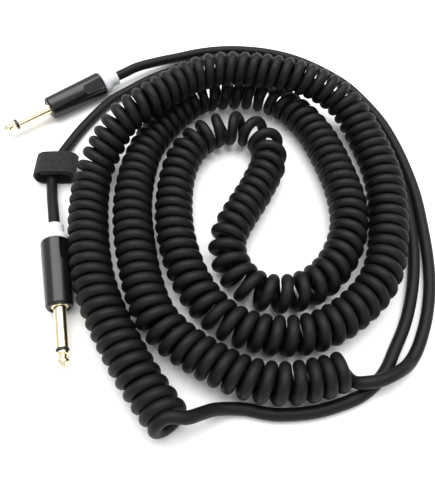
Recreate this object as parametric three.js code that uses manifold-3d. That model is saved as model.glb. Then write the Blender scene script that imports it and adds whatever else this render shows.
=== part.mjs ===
// Coiled instrument cable: two 6.35 mm phone plugs, two straight leads, one long curly
// stretch laid in a double spiral, and a hook-and-loop tie on the lead of plug 2.
// Millimetres, +Z up. The cable lies on z = 0, with the origin under the middle of its box.

import * as THREE from 'three';
import { mergeVertices } from 'three/addons/utils/BufferGeometryUtils.js';
import Module from 'manifold-3d';

const manifold = await Module();
manifold.setup();

// ---------------------------------------------------------------- driving dimensions

const CORD_RADIUS = 3.1;        // PVC jacket, 6.2 mm cable
const CURLY_RADIUS = 10.5;      // outside of the curly stretch
const GAP = 0.3;                // between pieces that touch on the real cable
const LEAD_SIDES = 8;
const CURLY_SIDES = 12;
const ROUND = 24;               // facets around a turned piece

const PLUG_AXIS_Z = 8;          // the plugs lie on the rear rims of their shells
const BOOT_TAIL_RADIUS = 5;
const BOOT_TAIL_LENGTH = 5.5;
const BOOT_LENGTH = 11.5;       // from the cable's exit to the back of the shell
const BOOT_SPIGOT_RADIUS = 5.6;
const BOOT_SPIGOT_LENGTH = 6;
const SHELL_REAR_RADIUS = 8;
const SHELL_FRONT_RADIUS = 7;
const SHELL_LENGTH = 39;
const SHELL_BORE_RADIUS = 6.2;
const SHELL_LIP_LENGTH = 4.5;
const CONTACT_RADIUS = 3.175;   // standard quarter-inch shaft
const CONTACT_LENGTH = 31.5;    // from the shell's front face to the point of the tip
const TIP_LENGTH = 8.1;
const RING_WIDTH = 1.1;         // black insulator between tip and sleeve
const ROD_RADIUS = 1.1;

const SHELL_REAR = BOOT_LENGTH;
const SHELL_FRONT = SHELL_REAR + SHELL_LENGTH;
const POINT = SHELL_FRONT + CONTACT_LENGTH;
const TIP_REAR = POINT - TIP_LENGTH;
const RING_REAR = TIP_REAR - GAP - RING_WIDTH;
const JACKET_END = 28;
const CLAMP_REAR = 29;
const SLEEVE_REAR = 36;

const TIE_CENTRE = [-90, 21.25];
const TIE_WIDTH = 26;
const TIE_HEIGHT = 12.8;
const TIE_LENGTH = 15.5;
const TIE_LAYER = 1.5;

// Where each plug's boot ends, and the way the plug points (degrees from +X).
const PLUGS = [
  { number: 1, exit: [-61.5, 98.5], heading: 216.5, roll: -42 },
  { number: 2, exit: [-83.5, -22], heading: -77.5, roll: -54 },
];

// ---------------------------------------------------------------- routes, chosen by hand

// Middle line of the curly stretch, from plug 1's lead to plug 2's lead. It lies on the
// floor except for the outer ring's top, which rests on the ring inside it.
const CURLY_ROUTE = [
  [69, -103.3, 10.5], [54, -108, 10.5], [35, -110, 10.5], [16, -105.5, 10.5],
  [-14.5, -87, 10.5], [-25, -74, 10.5], [-36, -40, 10.5], [-40.5, 0, 10.5],
  [-33, 39, 10.5], [-6, 74, 10.5], [15, 80, 10.5], [38, 77, 10.5], [56, 63.5, 10.5],
  [70, 39, 10.5], [81, -12, 10.5], [76, -36, 10.5], [63, -55, 10.5], [46, -64, 10.5],
  [27, -62, 10.5], [16, -50, 10.5], [13, -33, 10.5], [31, 4, 10.5], [38, 22, 10.5],
  [36, 38, 10.5], [24, 48, 10.5], [8, 47, 10.5], [-7, 35, 10.5], [-15, 16, 10.5],
  [-16, -25, 10.5], [-4, -61, 10.5], [12, -79, 10.5], [33, -86.5, 10.5], [55, -85, 10.5],
  [75, -74, 10.5], [91, -57, 10.5], [99.5, -35, 10.5], [104, 8, 10.7], [95.5, 45.5, 13.5],
  [85.8, 61.3, 19.5], [72.3, 67.8, 26.3], [55.6, 72.2, 31], [16.5, 77.5, 32.3],
  [-3.5, 73, 32.4], [-34.2, 49.3, 31.8], [-48.5, 38.6, 27.5], [-57.6, 25.7, 20],
  [-64.4, 10.7, 12.7], [-63.6, -23, 10.7], [-55, -61, 10.5], [-35.5, -98, 10.5],
  [-17, -123.5, 10.5], [-13, -128, 10.5],
];

// The leads run from the ends of the curly stretch to the straight run behind each boot.
const LEAD_1_ROUTE = [
  [74, -108.3, 9.5], [78, -109.3, 10.5], [83, -108.6, 10.2], [89.5, -106, 9.6],
  [96.5, -102, 6.9], [101.5, -98, 3.6], [106.5, -91.5, 3.1], [111.5, -82, 3.1],
  [116, -71, 3.1], [120.5, -55, 3.1], [123, -38, 3.1], [124.3, -19, 3.1], [124.8, 2, 3.1],
  [123, 23, 3.1], [119.5, 43, 3.1], [114.5, 61, 3.1], [106, 79, 3.1], [95.5, 95.5, 3.1],
  [81.5, 109, 3.1], [65, 120.5, 3.1], [47.5, 127.8, 3.1], [29.5, 131.3, 3.1],
  [11.5, 131.8, 3.1], [-6, 129, 3.1], [-20.5, 123.5, 3.8], [-34, 116.5, 6],
];
const LEAD_2_ROUTE = [
  [-10.5, -130.5, 17.9], [-5, -126.5, 16], [0.5, -123.5, 11.5], [6, -121, 7.5],
  [12.5, -120, 4.4], [20, -120, 3.3], [32.5, -122.3, 3.1], [44.5, -122.2, 3.1],
  [55, -120.8, 3.1], [65, -118, 3.1], [74, -114.6, 3.1], [82, -109.3, 3.1],
  [89, -102, 3.1], [95, -92, 3.1], [103, -78, 3.1], [109.8, -61, 3.1], [114.6, -43, 3.1],
  [117.2, -24, 3.1], [118, -2, 3.1], [116.1, 19, 3.1], [111, 38, 3.1], [103.5, 56.5, 3.1],
  [94.5, 73.5, 3.1], [83, 88.5, 3.1], [69.5, 101.5, 3.1], [54, 112.5, 3.1],
  [37, 120.5, 3.1], [19.5, 124, 3.1], [1.5, 122.5, 3.1], [-14.5, 116, 3.1],
  [-27.5, 108.5, 3.1], [-40, 101, 3.1], [-52, 91.5, 3.1], [-64, 81, 3.1],
  [-72.5, 68.5, 3.15], [-80, 55.5, 3.3], [-85.5, 43.5, 3.5], [-89, 33.5, 4.3],
  [-91, 24, 5.2], [-91.5, 14, 5.3], [-90, 5, 5.8], [-88, -3.5, 7],
];
const STRAIGHT_RUN = [16, 8];   // distances behind plug 1's boot where its lead is straight
const SHORT_RUN = [9, 5];       // the same behind plug 2's boot

// ---------------------------------------------------------------- finishes

const FINISHES = {
  jacket: { color: 0x1d1e1f, roughness: 0.5, metalness: 0 },
  shell: { color: 0x18191a, roughness: 0.3, metalness: 0 },
  boot: { color: 0xf2f3f4, roughness: 0.45, metalness: 0 },
  gold: { color: 0xe6d3a0, roughness: 0.2, metalness: 1 },
  insulator: { color: 0x101010, roughness: 0.5, metalness: 0 },
  chuck: { color: 0xc9c9c4, roughness: 0.5, metalness: 0 },
  tinned: { color: 0xb8b9bb, roughness: 0.35, metalness: 1 },
  strap: { color: 0x38383a, roughness: 0.95, metalness: 0 },
};

function piece(name, finish, geometry) {
  const mesh = new THREE.Mesh(geometry, new THREE.MeshStandardMaterial(FINISHES[finish]));
  mesh.name = name;
  return mesh;
}

// ---------------------------------------------------------------- shared shapes

// Turned solid along +X from a list of [distance along the axis, radius]. An outline that
// touches the axis ends there; any other outline is closed on itself.
function turned(outline) {
  const points = outline.map(([along, radius]) => new THREE.Vector2(radius, along));
  const onAxis = outline[0][1] === 0;
  if (!onAxis) points.push(points[0].clone());
  return new THREE.LatheGeometry(points, ROUND).rotateZ(-Math.PI / 2);
}

// Straight tube between two distances along the axis.
function tube(from, to, outer, inner) {
  return turned([[from, inner], [from, outer], [to, outer], [to, inner]]);
}

// Plain rod between two distances along the axis.
function rod(from, to, radius) {
  return turned([[from, 0], [from, radius], [to, radius], [to, 0]]);
}

// Cord of polygon section swept along a smooth curve through the route's points.
function cord(points, radius, sides, steps) {
  const curve = new THREE.CatmullRomCurve3(points.map((p) => new THREE.Vector3(...p)));
  const section = new THREE.Shape();
  for (let side = 0; side < sides; side += 1) {
    const angle = (2 * Math.PI * (side + 0.5)) / sides;
    const x = radius * Math.cos(angle);
    const y = radius * Math.sin(angle);
    if (side === 0) section.moveTo(x, y);
    else section.lineTo(x, y);
  }
  section.closePath();
  return new THREE.ExtrudeGeometry(section, { steps, extrudePath: curve });
}

function toSolid(geometry) {
  const bare = geometry.clone();
  bare.deleteAttribute('normal');
  bare.deleteAttribute('uv');
  const merged = mergeVertices(bare, 1e-5);
  return new manifold.Manifold(new manifold.Mesh({
    numProp: 3,
    vertProperties: new Float32Array(merged.attributes.position.array),
    triVerts: new Uint32Array(merged.index.array),
  }));
}

function fromSolid(solid) {
  const mesh = solid.getMesh();
  const geometry = new THREE.BufferGeometry();
  geometry.setAttribute('position', new THREE.BufferAttribute(mesh.vertProperties, 3));
  geometry.setIndex(new THREE.BufferAttribute(mesh.triVerts, 1));
  return geometry;
}

// ---------------------------------------------------------------- plug pieces

// Gold tip: a short collar, a waist, a ball and a cone, on the rod that carries the signal.
function tipContact() {
  const r = CONTACT_RADIUS;
  return turned([
    [CLAMP_REAR + 4, 0], [CLAMP_REAR + 4, ROD_RADIUS], [TIP_REAR, ROD_RADIUS], [TIP_REAR, r],
    [TIP_REAR + 1, r], [TIP_REAR + 1.7, 2.35], [TIP_REAR + 2.5, 2.1], [TIP_REAR + 3.3, 2.4],
    [TIP_REAR + 4.2, 3], [TIP_REAR + 5, r - 0.05], [TIP_REAR + 5.7, 2.8], [POINT - 0.7, 1],
    [POINT - 0.2, 0.6], [POINT, 0],
  ]);
}

// Gold sleeve: the long shaft, and the wider body and flange held inside the shell.
function sleeveContact() {
  const bore = ROD_RADIUS + 1.1;
  const flange = SHELL_FRONT - SHELL_LIP_LENGTH - GAP;
  return turned([
    [SLEEVE_REAR, bore], [SLEEVE_REAR, 4.4], [flange - 3.5, 4.4], [flange - 3.5, 5],
    [flange, 5], [flange, 4.4], [SHELL_FRONT - 0.5, 4.4], [SHELL_FRONT - 0.5, CONTACT_RADIUS],
    [RING_REAR - GAP, CONTACT_RADIUS], [RING_REAR - GAP, bore],
  ]);
}

// Lacquered shell: tapered tube with a front lip and two flat finger pads cut at its rear.
function shell(roll) {
  const lip = SHELL_FRONT - SHELL_LIP_LENGTH;
  const body = turned([
    [SHELL_REAR, SHELL_BORE_RADIUS], [SHELL_REAR, SHELL_REAR_RADIUS - 0.5],
    [SHELL_REAR + 0.5, SHELL_REAR_RADIUS], [SHELL_FRONT - 1.2, SHELL_FRONT_RADIUS],
    [SHELL_FRONT, SHELL_FRONT_RADIUS - 0.9], [SHELL_FRONT, 4.9], [lip, 4.9],
    [lip, SHELL_BORE_RADIUS],
  ]);
  const padLength = 14;
  const padHalfWidth = 3.5;
  const outline = new THREE.Shape();
  outline.moveTo(-1, -padHalfWidth);
  outline.lineTo(padLength - padHalfWidth, -padHalfWidth);
  outline.absarc(padLength - padHalfWidth, 0, padHalfWidth, -Math.PI / 2, Math.PI / 2);
  outline.lineTo(-1, padHalfWidth);
  outline.closePath();
  const pad = new THREE.ExtrudeGeometry(outline, { depth: 3, bevelEnabled: false, curveSegments: 10 });
  pad.translate(SHELL_REAR, 0, SHELL_REAR_RADIUS - 1);
  let solid = toSolid(body);
  for (const side of [0, 180]) {
    const cutter = pad.clone().rotateX(THREE.MathUtils.degToRad(roll + side));
    solid = solid.subtract(toSolid(cutter));
  }
  return fromSolid(solid);
}

// White boot nut: a tail around the cable, a flared grip, and the spigot that screws in.
function bootNut() {
  const bore = CORD_RADIUS + 0.4;
  const front = SHELL_REAR - GAP;
  return turned([
    [0, bore], [0, BOOT_TAIL_RADIUS - 0.4], [0.4, BOOT_TAIL_RADIUS],
    [BOOT_TAIL_LENGTH, BOOT_TAIL_RADIUS], [BOOT_TAIL_LENGTH + 1, BOOT_TAIL_RADIUS + 1],
    [front - 1.5, SHELL_REAR_RADIUS - 0.4], [front, SHELL_REAR_RADIUS - 0.4],
    [front, BOOT_SPIGOT_RADIUS], [front + BOOT_SPIGOT_LENGTH, BOOT_SPIGOT_RADIUS],
    [front + BOOT_SPIGOT_LENGTH, bore],
  ]);
}

// Chuck: a collet that the boot squeezes onto the jacket. Four slots let its jaws close.
function chuck() {
  const rear = SHELL_REAR + BOOT_SPIGOT_LENGTH;
  const front = JACKET_END - 1;
  const bore = CORD_RADIUS + GAP;
  const body = turned([
    [rear, bore], [rear, 5.1], [rear + 4, 5.1], [front, 4.5], [front, bore],
  ]);
  const slot = new THREE.BoxGeometry(front - rear - 3, 12, 0.9).translate((rear + front + 5) / 2, 0, 0);
  const across = toSolid(slot);
  const upright = toSolid(slot.clone().rotateX(Math.PI / 2));
  return fromSolid(toSolid(body).subtract(across.add(upright)));
}

// Ground clamp: a trough on the back of the sleeve that the cable's screen is soldered to.
function groundClamp() {
  const [inner, outer] = [4.1, 4.8];
  const outline = new THREE.Shape();
  outline.absarc(0, 0, outer, Math.PI * 1.15, Math.PI * 1.85, false);
  outline.absarc(0, 0, inner, Math.PI * 1.85, Math.PI * 1.15, true);
  outline.closePath();
  const length = SLEEVE_REAR - GAP - CLAMP_REAR;
  const trough = new THREE.ExtrudeGeometry(outline, { depth: length, bevelEnabled: false, curveSegments: 8 });
  return trough.rotateX(Math.PI / 2).rotateZ(Math.PI / 2).translate(CLAMP_REAR, 0, 0);
}

// Tip lug: a small tinned tab behind the rod, for the inner conductor.
function tipLug() {
  const rear = CLAMP_REAR + 0.5;
  const front = CLAMP_REAR + 4 - GAP;
  return new THREE.BoxGeometry(front - rear, 2.4, 0.7).translate((rear + front) / 2, 0, 0.75);
}

function plugPieces({ number, roll }) {
  const named = (name) => `${name}_${number}`;
  const liner = tube(SHELL_REAR + 7.5, SHELL_FRONT - SHELL_LIP_LENGTH - 4.5, 5.9, 5.4);
  const bush = tube(SLEEVE_REAR + 1, RING_REAR - 2 * GAP, ROD_RADIUS + 0.8, ROD_RADIUS + GAP);
  const ring = tube(RING_REAR, RING_REAR + RING_WIDTH, CONTACT_RADIUS + 0.12, ROD_RADIUS + GAP);
  const core = rod(JACKET_END + GAP, CLAMP_REAR + 4 - GAP, 0.8).translate(0, 0, -0.9);
  const screen = rod(JACKET_END + GAP, SLEEVE_REAR - 1.5, 0.7).translate(0, 0, -3.1);
  return [
    piece(named('tip_contact'), 'gold', tipContact()),
    piece(named('tip_insulator'), 'insulator', ring),
    piece(named('sleeve_contact'), 'gold', sleeveContact()),
    piece(named('inner_bush'), 'insulator', bush),
    piece(named('tip_lug'), 'tinned', tipLug()),
    piece(named('ground_clamp'), 'gold', groundClamp()),
    piece(named('shell'), 'shell', shell(roll)),
    piece(named('shell_liner'), 'insulator', liner),
    piece(named('chuck'), 'chuck', chuck()),
    piece(named('boot_nut'), 'boot', bootNut()),
    piece(named('jacket_end'), 'jacket', rod(0, JACKET_END, CORD_RADIUS)),
    piece(named('core_wire'), 'boot', core),
    piece(named('screen_tail'), 'tinned', screen),
  ];
}

function placedPlug(plug) {
  const group = new THREE.Group();
  group.add(...plugPieces(plug));
  group.rotation.z = THREE.MathUtils.degToRad(plug.heading);
  group.position.set(plug.exit[0], plug.exit[1], PLUG_AXIS_Z);
  return group;
}

// Points straight behind a boot, so that the boot can back off along its lead.
function straightRun({ exit, heading }, distances) {
  const angle = THREE.MathUtils.degToRad(heading);
  return [...distances, GAP].map((distance) => [
    exit[0] - distance * Math.cos(angle), exit[1] - distance * Math.sin(angle), PLUG_AXIS_Z,
  ]);
}

// ---------------------------------------------------------------- hook-and-loop tie

// Band of rounded-rectangle section: width, height, wall and length along the lead.
function band(width, height, wall, length) {
  const outline = (halfWidth, halfHeight, corner, shape) => {
    const [x, y] = [halfWidth - corner, halfHeight - corner];
    shape.moveTo(-x, -halfHeight);
    shape.lineTo(x, -halfHeight);
    shape.absarc(x, -y, corner, -Math.PI / 2, 0);
    shape.lineTo(halfWidth, y);
    shape.absarc(x, y, corner, 0, Math.PI / 2);
    shape.lineTo(-x, halfHeight);
    shape.absarc(-x, y, corner, Math.PI / 2, Math.PI);
    shape.lineTo(-halfWidth, -y);
    shape.absarc(-x, -y, corner, Math.PI, Math.PI * 1.5);
    shape.closePath();
    return shape;
  };
  const corner = height * 0.4;
  const shape = outline(width / 2, height / 2, corner, new THREE.Shape());
  shape.holes.push(outline(width / 2 - wall, height / 2 - wall, corner - wall, new THREE.Path()));
  const solid = new THREE.ExtrudeGeometry(shape, { depth: length, bevelEnabled: false, curveSegments: 6 });
  return solid.rotateX(Math.PI / 2).translate(0, length / 2, 0);
}

// The strap goes round once as the inner layer, and its end laps over the top.
function tiePieces() {
  const innerWidth = TIE_WIDTH - 2 * (TIE_LAYER + GAP);
  const innerHeight = TIE_HEIGHT - TIE_LAYER - GAP;
  const strap = band(innerWidth, innerHeight, TIE_LAYER, TIE_LENGTH);
  strap.translate(TIE_CENTRE[0], TIE_CENTRE[1], innerHeight / 2);
  const lapHeight = innerHeight + 2 * (TIE_LAYER + GAP);
  const lap = band(TIE_WIDTH, lapHeight, TIE_LAYER, TIE_LENGTH);
  const cut = new THREE.BoxGeometry(TIE_WIDTH + 2, TIE_LENGTH + 2, lapHeight);
  cut.translate(0, 0, -lapHeight * 0.5 - 1);
  const top = fromSolid(toSolid(lap).subtract(toSolid(cut)));
  top.translate(TIE_CENTRE[0], TIE_CENTRE[1], innerHeight / 2);
  return [piece('tie_strap', 'strap', strap), piece('tie_lap', 'strap', top)];
}

// ---------------------------------------------------------------- assembly

const group = new THREE.Group();
const lead1 = [...LEAD_1_ROUTE, ...straightRun(PLUGS[0], STRAIGHT_RUN)];
const lead2 = [...LEAD_2_ROUTE, ...straightRun(PLUGS[1], SHORT_RUN)];
group.add(
  piece('curly_cord', 'jacket', cord(CURLY_ROUTE, CURLY_RADIUS, CURLY_SIDES, 64)),
  piece('lead_to_plug_1', 'jacket', cord(lead1, CORD_RADIUS, LEAD_SIDES, 36)),
  piece('lead_to_plug_2', 'jacket', cord(lead2, CORD_RADIUS, LEAD_SIDES, 52)),
  ...PLUGS.map(placedPlug),
  ...tiePieces(),
);

export default group;
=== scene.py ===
# %% [markdown]
# # A coiled instrument cable
# One black cable with a quarter-inch plug at each end. Most of it is wound into springy
# turns, laid here in a double spiral on a table, and a fabric tie hangs on one straight
# lead. The lesson builds it the way it is made: first the line that the cable follows,
# then its round jacket, then the turned and moulded pieces of each plug, then the tie.

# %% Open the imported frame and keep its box
import math

import bpy
import numpy as np
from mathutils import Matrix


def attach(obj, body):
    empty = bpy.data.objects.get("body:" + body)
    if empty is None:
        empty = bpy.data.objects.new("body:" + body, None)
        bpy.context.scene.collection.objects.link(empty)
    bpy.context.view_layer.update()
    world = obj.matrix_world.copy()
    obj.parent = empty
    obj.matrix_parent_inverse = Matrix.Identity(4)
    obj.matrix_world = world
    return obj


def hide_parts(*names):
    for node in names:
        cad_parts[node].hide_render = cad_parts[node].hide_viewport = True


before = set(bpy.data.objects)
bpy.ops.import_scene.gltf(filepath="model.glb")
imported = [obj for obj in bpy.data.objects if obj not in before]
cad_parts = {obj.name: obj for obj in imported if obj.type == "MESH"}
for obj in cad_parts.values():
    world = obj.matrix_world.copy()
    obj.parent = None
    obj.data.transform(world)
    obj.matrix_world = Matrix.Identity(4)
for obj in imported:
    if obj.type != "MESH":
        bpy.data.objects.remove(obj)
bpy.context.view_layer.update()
MM = 0.001

# %% [markdown]
# ## The camera
# The cable is seen from the front and well above, so the near side of each turn shows
# its face and the table fills the picture. A lens of normal length keeps the spiral's
# far side only a little smaller than its near side.

# %% Camera
CAMERA_PLACE = (7.5 * MM, -169 * MM, 239 * MM)
CAMERA_TILT = math.radians(30)      # from straight down
lens = bpy.data.cameras.new("studio_lens")
lens.sensor_width = 36
lens.lens = 35.64
camera = bpy.data.objects.new("studio_camera", lens)
camera.location = CAMERA_PLACE
camera.rotation_euler = (CAMERA_TILT, 0, 0)
bpy.context.scene.collection.objects.link(camera)
bpy.context.scene.camera = camera

# %% [markdown]
# ## The line that the cable follows
# A cable's shape is its middle line. Three routes are given point by point, in
# millimetres: the middle of the fat curly stretch, and the two straight leads. A smooth
# curve through the points could be a NURBS or a Bezier spline in Blender, but a
# Catmull-Rom curve passes through every point and is a short sum in numpy.

# %% Routes in millimetres
CORD_RADIUS = 3.1
TURN_RADIUS = 7.4        # from the middle of the coil to the middle of the cable, at least
JACKET_INSIDE = 27.7     # how far the jacket runs on into a plug
PLUGS = {                # where each boot ends and which way its plug points
    1: {"exit": (-61.5, 98.5), "heading": math.radians(216.5), "roll": math.radians(-42)},
    2: {"exit": (-83.5, -22), "heading": math.radians(-77.5), "roll": math.radians(-54)},
}
PLUG_AXIS_Z = 8.0

CURLY_ROUTE = [
    (69, -103.3, 10.5), (54, -108, 10.5), (35, -110, 10.5), (16, -105.5, 10.5),
    (-14.5, -87, 10.5), (-25, -74, 10.5), (-36, -40, 10.5), (-40.5, 0, 10.5),
    (-33, 39, 10.5), (-6, 74, 10.5), (15, 80, 10.5), (38, 77, 10.5), (56, 63.5, 10.5),
    (70, 39, 10.5), (81, -12, 10.5), (76, -36, 10.5), (63, -55, 10.5), (46, -64, 10.5),
    (27, -62, 10.5), (16, -50, 10.5), (13, -33, 10.5), (31, 4, 10.5), (38, 22, 10.5),
    (36, 38, 10.5), (24, 48, 10.5), (8, 47, 10.5), (-7, 35, 10.5), (-15, 16, 10.5),
    (-16, -25, 10.5), (-4, -61, 10.5), (12, -79, 10.5), (33, -86.5, 10.5), (55, -85, 10.5),
    (75, -74, 10.5), (91, -57, 10.5), (99.5, -35, 10.5), (104, 8, 10.7),
    (95.5, 45.5, 13.5), (85.8, 61.3, 19.5), (72.3, 67.8, 26.3), (55.6, 72.2, 31),
    (16.5, 77.5, 32.3), (-3.5, 73, 32.4), (-34.2, 49.3, 31.8), (-48.5, 38.6, 27.5),
    (-57.6, 25.7, 20), (-64.4, 10.7, 12.7), (-63.6, -23, 10.7), (-55, -61, 10.5),
    (-35.5, -98, 10.5), (-17, -123.5, 10.5), (-13, -128, 10.5),
]
LEAD_1_ROUTE = [
    (74, -108.3, 9.5), (78, -109.3, 10.5), (83, -108.6, 10.2), (89.5, -106, 9.6),
    (96.5, -102, 6.9), (101.5, -98, 3.6), (106.5, -91.5, 3.1), (111.5, -82, 3.1),
    (116, -71, 3.1), (120.5, -55, 3.1), (123, -38, 3.1), (124.3, -19, 3.1),
    (124.8, 2, 3.1), (123, 23, 3.1), (119.5, 43, 3.1), (114.5, 61, 3.1), (106, 79, 3.1),
    (95.5, 95.5, 3.1), (81.5, 109, 3.1), (65, 120.5, 3.1), (47.5, 127.8, 3.1),
    (29.5, 131.3, 3.1), (11.5, 131.8, 3.1), (-6, 129, 3.1), (-20.5, 123.5, 3.8),
    (-34, 116.5, 6),
]
LEAD_2_ROUTE = [
    (-10.5, -130.5, 17.9), (-5, -126.5, 16), (0.5, -123.5, 11.5), (6, -121, 7.5),
    (12.5, -120, 4.4), (20, -120, 3.3), (32.5, -122.3, 3.1), (44.5, -122.2, 3.1),
    (55, -120.8, 3.1), (65, -118, 3.1), (74, -114.6, 3.1), (82, -109.3, 3.1),
    (89, -102, 3.1), (95, -92, 3.1), (103, -78, 3.1), (109.8, -61, 3.1), (114.6, -43, 3.1),
    (117.2, -24, 3.1), (118, -2, 3.1), (116.1, 19, 3.1), (111, 38, 3.1),
    (103.5, 56.5, 3.1), (94.5, 73.5, 3.1), (83, 88.5, 3.1), (69.5, 101.5, 3.1),
    (54, 112.5, 3.1), (37, 120.5, 3.1), (19.5, 124, 3.1), (1.5, 122.5, 3.1),
    (-14.5, 116, 3.1), (-27.5, 108.5, 3.1), (-40, 101, 3.1), (-52, 91.5, 3.1),
    (-64, 81, 3.1), (-72.5, 68.5, 3.15), (-80, 55.5, 3.3), (-85.5, 43.5, 3.5),
    (-89, 33.5, 4.3), (-91, 24, 5.2), (-91.5, 14, 5.3), (-90, 5, 5.8), (-88, -3.5, 7),
]


# %% Smooth lines through points
def unit(vectors):
    """Each vector divided by its own length."""
    return vectors / np.linalg.norm(vectors, axis=-1, keepdims=True)


PER_SPAN = 24            # points of the curve from one route point to the next


def smooth_line(points, per_span=PER_SPAN):
    """Catmull-Rom curve through the points, with knots spaced by the square root of the
    distance between them. Each span blends its four nearest points in three rounds of
    straight mixing, from knot to knot."""
    p = np.asarray(points, float)
    p = np.vstack([2 * p[0] - p[1], p, 2 * p[-1] - p[-2]])
    gaps = np.sqrt(np.linalg.norm(np.diff(p, axis=0), axis=1))
    knot = np.concatenate([[0], np.cumsum(gaps)])[:, None, None]
    k0, k1, k2, k3 = knot[:-3], knot[1:-2], knot[2:-1], knot[3:]
    p0, p1, p2, p3 = (p[i:len(p) - 3 + i][:, None, :] for i in range(4))
    t = k1 + (k2 - k1) * np.linspace(0, 1, per_span, endpoint=False)[None, :, None]

    def mix(a, b, ka, kb):
        return ((kb - t) * a + (t - ka) * b) / (kb - ka)

    a1, a2, a3 = mix(p0, p1, k0, k1), mix(p1, p2, k1, k2), mix(p2, p3, k2, k3)
    b1, b2 = mix(a1, a2, k0, k2), mix(a2, a3, k1, k3)
    return np.vstack([mix(b1, b2, k1, k2).reshape(-1, 3), p[-2]])


def travelled(line):
    """Distance along the line at each of its points."""
    return np.concatenate([[0], np.cumsum(np.linalg.norm(np.diff(line, axis=0), axis=1))])


def at_distance(line, distances):
    """Points of the line at the given distances along it."""
    along = travelled(line)
    return np.stack([np.interp(distances, along, line[:, k]) for k in range(3)], axis=1)


def softened(values, width):
    """Running average with a bell-shaped weight, width samples wide, ends held."""
    reach = 3 * width
    bell = np.exp(-0.5 * (np.arange(-reach, reach + 1) / width) ** 2)
    padded = np.pad(values, reach, mode="edge")
    return np.convolve(padded, bell / bell.sum(), mode="valid")


# %% [markdown]
# ## The curly stretch
# A curly cable is wound on a rod and baked, so it keeps its turns. Its line is a helix
# whose middle is not straight: it follows the spiral on the table. Blender's Screw
# modifier makes a helix only about a straight axis, so this one is a sum. At each step
# along the route the frame is its forward direction, a level sideways one and an upward
# one, and the cable goes round them. The turns lean on each other: they touch on the
# inside of a bend and fan open on its outside, and here and there they are pulled apart.

# %% Spacing of the turns
TOUCHING = 6.27          # spacing of turns that just touch
LAY = [                  # at a point of the route: gap between turns, extra radius, mm
    (0, 0.3, 0.1), (3, 0.1, 0.2), (5, 0.0, 0.8), (6, 0.0, 1.0), (7, 0.0, 0.9),
    (8, 0.1, 0.4), (9, 0.6, 0.1), (10, 1.3, 0.0), (11, 0.9, 0.0), (12, 0.3, 0.1),
    (13, 0.0, 0.6), (14, 0.0, 0.7), (16, 0.1, 0.1), (18, 0.1, 0.1), (20, 0.2, 0.3),
    (22, 0.0, 0.7), (24, 1.1, 0.3), (26, 0.3, 0.5), (28, 0.0, 0.6), (30, 0.2, 0.2),
    (32, 0.2, 0.1), (34, 0.1, 0.4), (36, 0.0, 0.9), (37, -0.2, 0.7), (38, -0.3, 0.4),
    (39, -0.3, 0.2), (40, -0.2, 0.0), (41, 0.1, 0.0), (43, -0.1, 0.1), (44, -0.3, 0.2), (45, -0.3, 0.4),
    (46, -0.1, 0.6), (47, 0.0, 1.0), (49, 0.0, 0.8), (51, 0.1, 0.4),
]
START_ANGLE = math.radians(130)  # the first turn starts low on its near side
ROUTE_STEP = 0.5         # mm between the places where the frame is worked out
BEND_BLEND, LAY_BLEND, UNEVEN_BLEND = 12, 20, 8  # widths of running averages, in steps
UNEVENNESS = 0.03        # share by which the spacing wanders
rng = np.random.default_rng(7)

route = smooth_line(CURLY_ROUTE)
route_length = travelled(route)[-1]
middle = at_distance(route, np.linspace(0, route_length, int(route_length / ROUTE_STEP)))
forward = unit(np.gradient(middle, axis=0))
sideways = unit(np.cross(forward, [0, 0, 1]))
upward = np.cross(sideways, forward)
place = travelled(middle)
bend = softened(np.linalg.norm(np.gradient(forward, axis=0), axis=1) / ROUTE_STEP, BEND_BLEND)

lay_place = travelled(route)[np.array([point for point, _, _ in LAY]) * PER_SPAN]
gap = softened(np.interp(place, lay_place, [gap for _, gap, _ in LAY]), LAY_BLEND)
swell = softened(np.interp(place, lay_place, [extra for _, _, extra in LAY]), LAY_BLEND)
coil_radius = TURN_RADIUS + swell
middle[:, 2] += swell    # a wider coil still rests on the table
spacing = (TOUCHING + gap) / (1 - coil_radius * bend)
uneven = softened(rng.normal(0, 1, len(place)), UNEVEN_BLEND)
spacing = spacing * (1 + UNEVENNESS * uneven / uneven.std())
turns = np.concatenate([[0], np.cumsum(np.diff(place) / spacing[1:])])
whole = round(turns[-1] + START_ANGLE / math.tau) - START_ANGLE / math.tau
turns = turns * whole / turns[-1]
print(f"curly stretch: {route_length:.0f} mm long, {whole:.1f} turns")

# %% The helix
STEPS_PER_TURN = 25
DRIFT, LEAN = 0.1, 0.35   # mm by which turns shrink, and lean along the coil
DRIFT_BLEND, LEAN_BLEND = 40, 60
LEAN_LAG = 0.6           # radians round the turn where the lean is greatest


def carried(values, at):
    """Values given along the route, read at other places on it."""
    return np.stack([np.interp(at, place, values[:, k]) for k in range(3)], axis=1)


count = int(whole * STEPS_PER_TURN)
angle_turns = np.linspace(0, whole, count)
where = np.interp(angle_turns, turns, place)
angle = START_ANGLE + math.tau * angle_turns
drift = softened(rng.normal(0, 1, count), DRIFT_BLEND)
lean = softened(rng.normal(0, 1, count), LEAN_BLEND)
radius = np.interp(where, place, coil_radius) - DRIFT * np.abs(drift / drift.std())
tilt = LEAN * lean / lean.std()
helix = (
    carried(middle, where)
    + (radius * np.cos(angle))[:, None] * unit(carried(upward, where))
    - (radius * np.sin(angle))[:, None] * unit(carried(sideways, where))
    + (tilt * np.cos(angle + LEAN_LAG))[:, None] * unit(carried(forward, where))
)
print("helix points:", helix.shape)

# %% [markdown]
# ## One cable from plug to plug
# The leads are the same cable where it was not wound. Each end of the helix is cut back
# a little, and a cubic carries the last turn into its lead with no kink.


# %% Join the leads to the helix
BEHIND_BOOT = {1: (16, 8), 2: (9, 5)}  # mm behind each boot where its lead is straight


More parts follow.
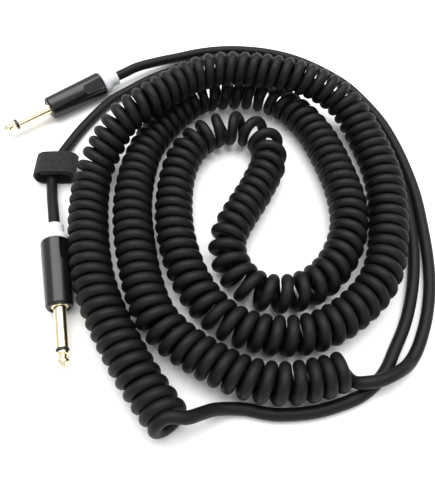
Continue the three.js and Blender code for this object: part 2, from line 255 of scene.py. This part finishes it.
def inside_plug(number):
    """The straight last stretch of a lead: behind the boot, and on into the plug."""
    exit_x, exit_y = PLUGS[number]["exit"]
    heading = PLUGS[number]["heading"]
    ahead = (*BEHIND_BOOT[number], 0, -JACKET_INSIDE / 2, -JACKET_INSIDE)
    return [
        (exit_x - d * math.cos(heading), exit_y - d * math.sin(heading), PLUG_AXIS_Z)
        for d in ahead
    ]


def joined(first, second, cut_first, cut_second, pull):
    """Two lines made one. The cubic between them leaves along the first and arrives along
    the second, and pull times the gap is how far each direction is kept."""
    a = at_distance(first, np.arange(0, travelled(first)[-1] - cut_first, 1.0))
    b = at_distance(second, np.arange(cut_second, travelled(second)[-1], 1.0))
    b = np.vstack([b, second[-1]])
    start, end = a[-1], b[0]
    gap = np.linalg.norm(end - start)
    leave, arrive = unit(a[-1] - a[-2]) * gap * pull, unit(b[1] - b[0]) * gap * pull
    t = np.linspace(0, 1, max(int(gap), 4))[1:-1, None]
    cubic = (
        (2 * t**3 - 3 * t**2 + 1) * start + (t**3 - 2 * t**2 + t) * leave
        + (3 * t**2 - 2 * t**3) * end + (t**3 - t**2) * arrive
    )
    return np.vstack([a, cubic, b])


lead_1 = smooth_line([*LEAD_1_ROUTE, *inside_plug(1)])
lead_2 = smooth_line([*LEAD_2_ROUTE, *inside_plug(2)])
whole_line = joined(lead_2[::-1], helix[::-1], cut_first=8, cut_second=2, pull=1.2)
whole_line = joined(whole_line, lead_1, cut_first=1, cut_second=5, pull=1.4)
cable_length = travelled(whole_line)[-1]
print(f"cable: {cable_length / 1000:.2f} m of 6.2 mm cable")

# %% Even rings along the cable
RING_STEP = 1.75         # mm of cable from ring to ring
rings = int(cable_length / RING_STEP)
cable_line = at_distance(whole_line, np.linspace(0, cable_length, rings))
cable_line = np.stack([softened(cable_line[:, k], 1) for k in range(3)], axis=1)
print("rings:", rings, "lowest point of the line, mm:", cable_line[:, 2].min().round(2))


# %% [markdown]
# ## Surfaces from grids
# Every new piece is a grid of points: one parameter runs along it and the other round
# it. Blender could sweep a Bevel along a curve, but a grid also gives a clean UV map,
# which the jacket's faint lengthwise lines need.


# %% Grids, frames and meshes
def even_frames(line):
    """Two directions across a line at each point, with no needless twist. Any direction
    square to the line will do at first. The turn of each one against its neighbour,
    carried over by the smallest rotation, is added up and taken out again."""
    along = unit(np.gradient(line, axis=0))
    least = np.eye(3)[np.argmin(np.abs(along), axis=1)]
    across = unit(np.cross(along, least))
    beside = np.cross(along, across)
    now, then = along[:-1], along[1:]
    dot = np.sum(now * then, axis=1, keepdims=True)
    reach = np.sum(then * across[:-1], axis=1, keepdims=True)
    moved = across[:-1] - (now + then) * reach / (1 + dot)
    turn = np.arctan2(np.sum(moved * beside[1:], axis=1), np.sum(moved * across[1:], axis=1))
    total = np.concatenate([[0], np.cumsum(turn)])[:, None]
    first = np.cos(total) * across + np.sin(total) * beside
    return first, np.cross(along, first)


def round_grid(line, radius, sides):
    """Rings of a round tube: each point of the line plus the radius times the cosine and
    sine of the angle round it."""
    first, second = even_frames(line)
    angle = np.linspace(0, math.tau, sides, endpoint=False)[None, :, None]
    ring = np.cos(angle) * first[:, None, :] + np.sin(angle) * second[:, None, :]
    return line[:, None, :] + np.reshape(radius, (-1, 1, 1)) * ring


def surface(name, grid, material, looped=False, crease=35.0):
    """Mesh over a grid of points in millimetres, closed round each ring. Rings join end to
    end when looped, and otherwise the first and last are capped. The UV map holds metres
    along the grid and the share of the way round it."""
    rings, sides = grid.shape[:2]
    index = np.arange(rings * sides).reshape(rings, sides)
    here = index if looped else index[:-1]
    ahead = np.roll(index, -1, axis=0) if looped else index[1:]
    quads = np.stack(
        [here, np.roll(here, -1, 1), np.roll(ahead, -1, 1), ahead], axis=-1
    ).reshape(-1, 4)
    caps = [] if looped else [index[0][::-1].tolist(), index[-1].tolist()]
    mesh = bpy.data.meshes.new(name)
    mesh.from_pydata((grid.reshape(-1, 3) * MM).tolist(), [], [*quads.tolist(), *caps])
    step = np.linalg.norm(np.diff(grid.mean(axis=1), axis=0), axis=1)
    along = np.concatenate([[0], np.cumsum(step)]) * MM
    along = np.append(along, along[-1] + step[-1] * MM)[: len(here) + 1]
    u0 = np.repeat(along[: len(here), None], sides, axis=1)
    u1 = np.repeat(along[1: len(here) + 1, None], sides, axis=1)
    v0 = np.broadcast_to(np.arange(sides) / sides, u0.shape)
    v1 = v0 + 1 / sides
    uv = np.stack([u0, v0, u0, v1, u1, v1, u1, v0], axis=-1).reshape(-1)
    layer = mesh.uv_layers.new(name="along_and_round")
    corners = np.zeros(2 * len(mesh.loops))
    corners[: len(uv)] = uv
    layer.data.foreach_set("uv", corners)
    mesh.shade_smooth()
    mesh.set_sharp_from_angle(angle=math.radians(crease))
    mesh.update()
    piece = bpy.data.objects.new(name, mesh)
    bpy.context.scene.collection.objects.link(piece)
    mesh.materials.append(material)
    return piece


# %% [markdown]
# ## Materials
# Each finish starts from what the real thing is and how its surface was made. Colours
# are hex values as on a paint chart, and one function turns them into the linear light
# that the shader works in. One function adds a node, sets it and wires it.


# %% Colour and node helpers
def linear(hex_colour):
    """sRGB hex to linear RGBA: below 0.04045 a share of 12.92, above it a power of 2.4."""
    srgb = np.array([int(hex_colour[i:i + 2], 16) for i in (1, 3, 5)]) / 255
    light = np.where(srgb <= 0.04045, srgb / 12.92, ((srgb + 0.055) / 1.055) ** 2.4)
    return (*light.tolist(), 1.0)


def add_node(tree, kind, values=(), links=(), **settings):
    """Add a node. settings are its own options, values its sockets' numbers, and links
    the outputs that its sockets read."""
    node = tree.nodes.new(kind)
    for option, value in settings.items():
        setattr(node, option, value)
    for socket, value in dict(values).items():
        node.inputs[socket].default_value = value
    for socket, source in dict(links).items():
        tree.links.new(source, node.inputs[socket])
    return node


def new_material(name):
    """An empty material with its output node, ready for a shader."""
    material = bpy.data.materials.new(name)
    material.use_nodes = True
    material.node_tree.nodes.clear()
    tree = material.node_tree
    return material, tree, add_node(tree, "ShaderNodeOutputMaterial")


# %% [markdown]
# ### Extruded PVC jacket
# The cable's jacket is soft black PVC, squeezed out of a die. That leaves a satin skin
# with a fine grain and very faint lines along it, and handling rubs it unevenly, so its
# gloss changes a little from place to place. The grain is about 0.2 mm, and is drawn a
# little coarser so that it shows.

# %% PVC jacket material
def pvc_jacket():
    """Black satin PVC: a slow change of tone and gloss, lines along the cable, a grain."""
    material, tree, output = new_material("extruded_pvc")
    place_on = add_node(tree, "ShaderNodeTexCoord")
    rub = add_node(tree, "ShaderNodeTexNoise", {"Scale": 1 / (14 * MM), "Detail": 3.0},
                   {"Vector": place_on.outputs["Object"]})
    tone = add_node(tree, "ShaderNodeValToRGB", links={"Fac": rub.outputs["Fac"]})
    tone.color_ramp.elements[0].position = 0.3
    tone.color_ramp.elements[0].color = linear("#08090a")
    tone.color_ramp.elements[1].position = 0.7
    tone.color_ramp.elements[1].color = linear("#0c0d0e")
    gloss = add_node(tree, "ShaderNodeMapRange", {"To Min": 0.46, "To Max": 0.58},
                     {"Value": rub.outputs["Fac"]})
    stretch = add_node(tree, "ShaderNodeMapping", {"Scale": (1 / (30 * MM), 40.0, 1.0)},
                       {"Vector": place_on.outputs["UV"]})
    lines = add_node(tree, "ShaderNodeTexNoise", {"Scale": 1.0, "Detail": 2.0},
                     {"Vector": stretch.outputs["Vector"]})
    grain = add_node(tree, "ShaderNodeTexNoise", {"Scale": 1 / (0.35 * MM), "Detail": 2.0},
                     {"Vector": place_on.outputs["Object"]})
    low = add_node(tree, "ShaderNodeBump", {"Strength": 0.12, "Distance": 0.06 * MM},
                   {"Height": lines.outputs["Fac"]})
    fine = add_node(tree, "ShaderNodeBump", {"Strength": 0.25, "Distance": 0.04 * MM},
                    {"Height": grain.outputs["Fac"], "Normal": low.outputs["Normal"]})
    shader = add_node(
        tree, "ShaderNodeBsdfPrincipled", {"IOR": 1.5, "Specular IOR Level": 0.21},
        {"Base Color": tone.outputs["Color"], "Roughness": gloss.outputs["Result"],
         "Normal": fine.outputs["Normal"]})
    tree.links.new(shader.outputs["BSDF"], output.inputs["Surface"])
    return material


PVC = pvc_jacket()

# %% [markdown]
# ## The cable's jacket
# One skin covers the whole cable, from inside one plug to inside the other. Fourteen
# sides are enough, because the shading is smooth and the cable is only 6 mm thick.

# %% Cable
CABLE_SIDES = 14
cable = surface("cable", round_grid(cable_line, CORD_RADIUS, CABLE_SIDES), PVC)
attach(cable, "root")
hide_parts("curly_cord", "lead_to_plug_1", "lead_to_plug_2",
            "jacket_end_1", "jacket_end_2")
print("cable faces:", len(cable.data.polygons))

# %% [markdown]
# ### Turned brass, lacquered black
# The plug's shell is turned from brass and sprayed with black lacquer. The lacquer
# flows smooth, with a faint ripple like orange peel, and it carries soft reflections.


# %% Lacquer, plating and plastics
def coated_finish(name, colour, roughness, ripple_mm, depth_mm, metallic=0.0, coat=0.0,
                  second=None, patch_mm=9.0, scatter=0.0, level=0.5):
    """A smooth made surface: a slow change between two tones and two glosses, and a bump
    of one real size."""
    material, tree, output = new_material(name)
    place_on = add_node(tree, "ShaderNodeTexCoord")
    patch = add_node(tree, "ShaderNodeTexNoise", {"Scale": 1 / (patch_mm * MM)},
                     {"Vector": place_on.outputs["Object"]})
    tone = add_node(tree, "ShaderNodeMix", {6: linear(colour), 7: linear(second or colour)},
                    {0: patch.outputs["Fac"]}, data_type="RGBA")
    gloss = add_node(tree, "ShaderNodeMapRange",
                     {"To Min": roughness * 0.85, "To Max": roughness * 1.2},
                     {"Value": patch.outputs["Fac"]})
    ripple = add_node(tree, "ShaderNodeTexNoise", {"Scale": 1 / (ripple_mm * MM)},
                      {"Vector": place_on.outputs["Object"]})
    bump = add_node(tree, "ShaderNodeBump", {"Strength": 0.3, "Distance": depth_mm * MM},
                    {"Height": ripple.outputs["Fac"]})
    shader = add_node(
        tree, "ShaderNodeBsdfPrincipled",
        {"Metallic": metallic, "Coat Weight": coat, "Coat Roughness": 0.12,
         "Specular IOR Level": level, "Subsurface Weight": scatter,
         "Subsurface Scale": 1.5 * MM},
        {"Base Color": tone.outputs[2], "Roughness": gloss.outputs["Result"],
         "Normal": bump.outputs["Normal"]})
    tree.links.new(shader.outputs["BSDF"], output.inputs["Surface"])
    return material


LACQUER = coated_finish("black_lacquer_on_brass", "#0c0d0e", 0.28, 1.2, 0.015,
                        coat=0.12, second="#101112", level=0.4)
GOLD = coated_finish("gold_plated_brass", "#fdf3d6", 0.2, 6.0, 0.003, metallic=1.0,
                     second="#f8ebc8")
WHITE_BOOT = coated_finish("moulded_white_abs", "#d6d8da", 0.42, 0.5, 0.02,
                           second="#cdcfd2", scatter=0.15)
BLACK_NYLON = coated_finish("black_nylon", "#101011", 0.5, 0.4, 0.02, second="#151516")
NATURAL_NYLON = coated_finish("natural_nylon", "#cfcfc9", 0.45, 0.5, 0.02,
                              second="#c3c3bb", scatter=0.2)
TINNED = coated_finish("tinned_metal", "#b9babc", 0.32, 0.3, 0.02, metallic=1.0,
                       second="#a9aaad")
WIRE = coated_finish("polyethylene_insulation", "#eeeeea", 0.4, 0.6, 0.01,
                     second="#e4e4df", scatter=0.2)

# %% [markdown]
# ## The plugs
# Shell, boot and contacts are turned or moulded round pieces, so each is a profile
# carried round an axis. Spin or the Screw modifier would do it too. A grid from numpy
# lets the same step round every corner and cut the shell's two flat finger pads.


# %% Profiles and turning
def rounded(outline, corner=0.25, steps=4, looped=True):
    """Outline with each corner cut back by up to corner and replaced by a parabola, which
    mixes the two cut points and the corner itself."""
    p = np.asarray(outline, float)
    before, after = np.roll(p, 1, axis=0), np.roll(p, -1, axis=0)
    back, on = before - p, after - p
    reach_back = np.minimum(corner, np.linalg.norm(back, axis=1) * 0.45)[:, None]
    reach_on = np.minimum(corner, np.linalg.norm(on, axis=1) * 0.45)[:, None]
    start, end = p + unit(back) * reach_back, p + unit(on) * reach_on
    t = np.linspace(0, 1, steps)[None, :, None]
    arc = (1 - t) ** 2 * start[:, None] + 2 * t * (1 - t) * p[:, None] + t**2 * end[:, None]
    if looped:
        return arc.reshape(-1, 2)
    return np.vstack([p[0], arc[1:-1].reshape(-1, 2), p[-1]])


def turned(profile, sides=96):
    """Rings of a turned piece about +X, from (distance, radius) pairs: each pair keeps its
    distance along the axis and goes once round it at its radius."""
    angle = np.linspace(0, math.tau, sides, endpoint=False)[None, :]
    along, radius = profile[:, :1], profile[:, 1:]
    return np.stack(
        [along + 0 * angle, radius * np.cos(angle), radius * np.sin(angle)], axis=-1
    )


def in_place(grid, number):
    """Turn a grid made about +X to its plug's heading, and move it to the boot's end."""
    plug = PLUGS[number]
    cos, sin = math.cos(plug["heading"]), math.sin(plug["heading"])
    x, y, z = grid[..., 0], grid[..., 1], grid[..., 2]
    exit_x, exit_y = plug["exit"]
    return np.stack(
        [exit_x + x * cos - y * sin, exit_y + x * sin + y * cos, PLUG_AXIS_Z + z], axis=-1
    )


# %% Shell with its finger pads
SHELL_REAR, SHELL_FRONT = 11.5, 50.5
REAR_RADIUS, FRONT_RADIUS, BORE_RADIUS, LIP_RADIUS = 8.0, 7.0, 6.2, 4.9
PAD_LENGTH, PAD_HALF_WIDTH, PAD_HEIGHT = 14.0, 3.5, 7.0
PAD_EDGE = 0.12          # the milled edge's width


def shell_grid(roll):
    """Lacquered shell. Outside, the radius falls straight from rear to front. Where a
    point is inside a pad's outline, its radius is the flat's height over the cosine of
    its angle from the pad, blended over the edge's width."""
    lip = SHELL_FRONT - 4.5
    body = np.linspace(SHELL_REAR + 0.5, SHELL_REAR + PAD_LENGTH + 1.5, 76)
    slope = (REAR_RADIUS - FRONT_RADIUS) / (SHELL_FRONT - SHELL_REAR)
    outside = np.column_stack([body, REAR_RADIUS - slope * (body - SHELL_REAR)])
    front = rounded([(SHELL_FRONT - 1.2, FRONT_RADIUS), (SHELL_FRONT, FRONT_RADIUS - 0.9),
                     (SHELL_FRONT, LIP_RADIUS), (lip, LIP_RADIUS), (lip, BORE_RADIUS),
                     (SHELL_REAR, BORE_RADIUS), (SHELL_REAR, REAR_RADIUS - 0.4)], 0.3)
    grid = turned(np.vstack([outside, front]), 240)
    outer = np.arange(len(grid)) < len(body)
    radius = np.hypot(grid[..., 1], grid[..., 2])
    angle = np.arctan2(grid[..., 2], grid[..., 1])
    for side in (0, math.pi):
        off = np.angle(np.exp(1j * (angle - roll - math.pi / 2 - side)))
        across = radius * np.sin(off)
        end = SHELL_REAR + PAD_LENGTH - PAD_HALF_WIDTH
        beyond = np.maximum(grid[..., 0] - end, 0)
        inside = PAD_HALF_WIDTH - np.hypot(across, beyond)
        share = np.clip(inside / PAD_EDGE + 0.5, 0, 1) * outer[:, None] * (np.abs(off) < 1)
        flat = PAD_HEIGHT / np.maximum(np.cos(off), 0.5)
        cut = np.minimum(radius, radius + share * (flat - radius))
        radius = np.where(share > 0, cut, radius)
    grid[..., 1], grid[..., 2] = radius * np.cos(angle), radius * np.sin(angle)
    return grid


# %% Boot, contacts and insulator
SLEEVE = 3.175           # radius of a quarter-inch contact
POINT = 82.0
TIP_REAR = 73.9
RING_REAR, RING_FRONT = 72.5, 73.6

boot_profile = rounded([
    (0, 3.5), (0, 5.0), (5.6, 5.0), (6.1, 5.9), (9.7, 7.65), (11.2, 7.65), (11.2, 5.6),
    (17.2, 5.6), (17.2, 3.5)], 0.5, 6)
sleeve_profile = rounded([
    (36, 2.2), (36, 4.4), (42.2, 4.4), (42.2, 5.0), (45.7, 5.0), (45.7, 4.4), (50.0, 4.4),
    (50.0, SLEEVE), (72.2, SLEEVE), (72.2, 2.2)], 0.25, 4)
ring_profile = rounded([
    (RING_REAR, 1.4), (RING_REAR, SLEEVE + 0.05), (RING_FRONT, SLEEVE + 0.05),
    (RING_FRONT, 1.4)], 0.15, 3)
tip_turning = smooth_line([
    (TIP_REAR + 0.9, SLEEVE, 0), (TIP_REAR + 1.3, 3.0, 0), (TIP_REAR + 1.75, 2.45, 0),
    (TIP_REAR + 2.4, 2.12, 0), (TIP_REAR + 3.1, 2.3, 0), (TIP_REAR + 4.0, 2.92, 0),
    (TIP_REAR + 4.7, 3.13, 0), (TIP_REAR + 5.35, 2.98, 0), (TIP_REAR + 6.1, 2.3, 0),
    (TIP_REAR + 7.1, 1.3, 0), (POINT - 0.4, 0.82, 0), (POINT - 0.08, 0.45, 0),
    (POINT, 0.1, 0)], 5)[:, :2]
tip_profile = np.vstack([
    [(33, 0.3), (33, 1.1), (TIP_REAR, 1.1), (TIP_REAR, 1.1), (TIP_REAR, SLEEVE - 0.15),
     (TIP_REAR + 0.15, SLEEVE)], tip_turning])

# %% Place both plugs
plug_pieces = {1: [], 2: []}
for number, plug in PLUGS.items():
    shapes = [
        ("shell", shell_grid(plug["roll"]), LACQUER, "root", True, "black_lacquer"),
        ("boot_nut", turned(boot_profile), WHITE_BOOT, f"boot_{number}", True, "white_boot"),
        ("sleeve_contact", turned(sleeve_profile), GOLD, "root", True, "gold_plate"),
        ("tip_insulator", turned(ring_profile), BLACK_NYLON, "root", True, "black_nylon"),
        ("tip_contact", turned(tip_profile), GOLD, "root", False, "gold_plate"),
    ]
    for part, grid, material, body, looped, slot in shapes:
        piece = surface(f"turned_{part}_{number}", in_place(grid, number), material, looped)
        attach(piece, body)
        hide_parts(f"{part}_{number}")
        plug_pieces[number].append(piece)
    print("plug", number, "pieces:", [piece.name for piece in plug_pieces[number]])

# %% Finishes of the parts inside each plug
HIDDEN = {
    "inner_bush": BLACK_NYLON, "shell_liner": BLACK_NYLON, "tip_lug": TINNED,
    "ground_clamp": GOLD, "chuck": NATURAL_NYLON, "core_wire": WIRE, "screen_tail": TINNED,
}
for number in PLUGS:
    for part, material in HIDDEN.items():
        node = bpy.data.objects[f"{part}_{number}"]
        node.data.materials.clear()
        node.data.materials.append(material)
print("hidden parts finished:", 2 * len(HIDDEN))

# %% [markdown]
# ## The hook-and-loop tie
# A strip of brushed nylon tape goes once round the lead and closes over itself. Its
# outside is a felt of tiny loops, so it looks soft and throws no highlight. A cloth
# simulation would only sag it, and tape is stiff, so it is a profile carried along a
# path: a flat strip that follows a rounded oblong, inside under the top and out over it.


# %% Brushed nylon material
def brushed_nylon():
    """Felted loops: tufts about 1 mm across of lighter and darker tone, finer fibres in
    the bump, and sheen for the soft pale edge of a pile."""
    material, tree, output = new_material("brushed_nylon_loop")
    place_on = add_node(tree, "ShaderNodeTexCoord")
    tuft = add_node(tree, "ShaderNodeTexNoise", {"Scale": 1 / (1.1 * MM), "Detail": 6.0,
                    "Roughness": 0.7}, {"Vector": place_on.outputs["Object"]})
    tone = add_node(tree, "ShaderNodeValToRGB", links={"Fac": tuft.outputs["Fac"]})
    tone.color_ramp.elements[0].position = 0.35
    tone.color_ramp.elements[0].color = linear("#141415")
    tone.color_ramp.elements[1].position = 0.68
    tone.color_ramp.elements[1].color = linear("#303033")
    fibre = add_node(tree, "ShaderNodeTexNoise", {"Scale": 1 / (0.3 * MM), "Detail": 4.0},
                     {"Vector": place_on.outputs["Object"]})
    coarse = add_node(tree, "ShaderNodeBump", {"Strength": 0.8, "Distance": 0.4 * MM},
                      {"Height": tuft.outputs["Fac"]})
    fine = add_node(tree, "ShaderNodeBump", {"Strength": 0.7, "Distance": 0.15 * MM},
                    {"Height": fibre.outputs["Fac"], "Normal": coarse.outputs["Normal"]})
    shader = add_node(
        tree, "ShaderNodeBsdfPrincipled",
        {"Roughness": 0.95, "Specular IOR Level": 0.2, "Sheen Weight": 0.12,
         "Sheen Roughness": 0.5},
        {"Base Color": tone.outputs["Color"], "Normal": fine.outputs["Normal"]})
    tree.links.new(shader.outputs["BSDF"], output.inputs["Surface"])
    return material


FELT = brushed_nylon()

# %% Path of the strip round the lead
TAPE_HALF_THICKNESS = 0.7
TAPE_WIDTH = 15.5
TIE_X, TIE_Y = -90.0, 21.25
strip_path = smooth_line([
    (-7.5, 0, 9.7), (-2, 0, 10.1), (5, 0, 10.0), (9.2, 0, 9.0), (10.8, 0, 6.6),
    (10.8, 0, 4.2), (9.2, 0, 1.6), (5, 0, 0.85), (-2, 0, 0.8), (-8, 0, 1.0),
    (-11.0, 0, 2.6), (-11.8, 0, 5.6), (-11.2, 0, 8.8), (-8.6, 0, 11.0), (-3, 0, 11.8),
    (4, 0, 11.9), (8.5, 0, 11.3), (11.3, 0, 9.6), (12.3, 0, 7.2)], 10)
strip_length = travelled(strip_path)[-1]
strip_path = at_distance(strip_path, np.linspace(0, strip_length, 150))
print(f"strip: {strip_length:.1f} mm long, {TAPE_WIDTH} mm wide")

# %% The strip
section = rounded([
    (-TAPE_WIDTH / 2, -TAPE_HALF_THICKNESS), (TAPE_WIDTH / 2, -TAPE_HALF_THICKNESS),
    (TAPE_WIDTH / 2, TAPE_HALF_THICKNESS), (-TAPE_WIDTH / 2, TAPE_HALF_THICKNESS)],
    0.6, 6)
dense = smooth_line(np.column_stack([section, 0 * section[:, 0]]), 3)[:-1]
along = unit(np.gradient(strip_path, axis=0))
outward = np.cross(along, [0.0, 1.0, 0.0])
strip_grid = (
    strip_path[:, None, :]
    + dense[None, :, :1] * np.array([0.0, 1.0, 0.0])
    + dense[None, :, 1:2] * outward[:, None, :]
    + np.array([TIE_X, TIE_Y, 0.0])
)
tie = surface("tie_strip", strip_grid[:, ::-1], FELT)
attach(tie, "tie")
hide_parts("tie_strap", "tie_lap")

# %% [markdown]
# ### Loose fibres
# Some loops of the felt are broken, and their ends stand out of it. They catch the light
# along the tape's edges. A hair system would need a modifier, and these few ends are
# straight, so each is a three-sided spike about half a millimetre long.

# %% Fibres on the tape
FIBRES = 2600
FIBRE_RADIUS = 0.035
FIBRE_LENGTHS = (0.25, 0.75)

loop = np.vstack([dense, dense[:1]])
round_at = rng.uniform(0, travelled(loop)[-1], FIBRES)
ring = rng.integers(1, len(strip_path) - 1, FIBRES)
spot = at_distance(loop, round_at)
ahead = at_distance(loop, round_at + 0.05) - at_distance(loop, round_at - 0.05)
facing = unit(np.column_stack([ahead[:, 1], -ahead[:, 0]]))
across = np.array([[0.0, 1.0, 0.0]])
root = (strip_path[ring] + spot[:, :1] * across + spot[:, 1:2] * outward[ring]
        + np.array([TIE_X, TIE_Y, 0.0]))
stands = unit(facing[:, :1] * across + facing[:, 1:2] * outward[ring]
              + 0.45 * rng.normal(0, 1, (FIBRES, 3)))
height = rng.uniform(*FIBRE_LENGTHS, FIBRES)[:, None]
third = math.tau * np.arange(3) / 3
base = unit(np.cross(stands, along[ring] + 0.3))
other = np.cross(stands, base)
foot = (root[:, None, :]
        + FIBRE_RADIUS * np.cos(third)[None, :, None] * base[:, None, :]
        + FIBRE_RADIUS * np.sin(third)[None, :, None] * other[:, None, :])
spikes = np.concatenate([foot, (root + height * stands)[:, None, :]], axis=1)
spikes[..., 2] = np.maximum(spikes[..., 2], 0.0)
first = 4 * np.arange(FIBRES)[:, None]
faces = np.concatenate([first + np.array([[i, (i + 1) % 3, 3]]) for i in range(3)])
fuzz_mesh = bpy.data.meshes.new("tie_fuzz")
fuzz_mesh.from_pydata((spikes.reshape(-1, 3) * MM).tolist(), [], faces.tolist())
fuzz_mesh.materials.append(FELT)
fuzz = bpy.data.objects.new("tie_fuzz", fuzz_mesh)
bpy.context.scene.collection.objects.link(fuzz)
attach(fuzz, "tie")
print("fibres:", FIBRES)

# %% [markdown]
# ## Table and light
# The cable lies on a plain white table under one wide soft light from above and
# behind, with a fainter one from the front. A wide lamp gives each turn the broad
# highlight of satin plastic, and leaves only a little shade where the turns touch.


# %% Table
def white_table():
    """Plain matt white board."""
    material, tree, output = new_material("white_table")
    shader = add_node(tree, "ShaderNodeBsdfDiffuse", {"Color": (0.9, 0.9, 0.9, 1)})
    tree.links.new(shader.outputs["BSDF"], output.inputs["Surface"])
    return material


TABLE_SIZE = 6.0
corners = TABLE_SIZE * (np.array([(0, 0), (1, 0), (1, 1), (0, 1)]) - 0.5)
table_mesh = bpy.data.meshes.new("table")
table_mesh.from_pydata([(x, y, 0.0) for x, y in corners.tolist()], [], [(0, 1, 2, 3)])
table_mesh.materials.append(white_table())
table = bpy.data.objects.new("table", table_mesh)
bpy.context.scene.collection.objects.link(table)

# %% Lights
world = bpy.data.worlds.new("studio")
bpy.context.scene.world = world
world.use_nodes = True
world.node_tree.nodes["Background"].inputs["Color"].default_value = (1, 1, 1, 1)
world.node_tree.nodes["Background"].inputs["Strength"].default_value = 0.75


def soft_lamp(name, place_at, aim, width, height, watts):
    """A rectangular lamp at a place, turned to face its aim."""
    data = bpy.data.lights.new(name, "AREA")
    data.shape = "RECTANGLE"
    data.size, data.size_y, data.energy = width, height, watts
    lamp = bpy.data.objects.new(name, data)
    direction = np.array(aim) - np.array(place_at)
    lamp.location = place_at
    flat = math.hypot(direction[0], direction[1])
    lamp.rotation_euler = (math.atan2(flat, -direction[2]), 0,
                           math.atan2(direction[1], direction[0]) - math.pi / 2)
    bpy.context.scene.collection.objects.link(lamp)
    return lamp


soft_lamp("overhead_softbox", (0, 0.35, 1.2), (0, 0, 0), width=1.6, height=1.1, watts=25)
soft_lamp("front_fill", (0.3, -1.2, 0.9), (0, 0, 0), width=0.8, height=0.6, watts=2)
bpy.context.scene.view_settings.view_transform = "Standard"
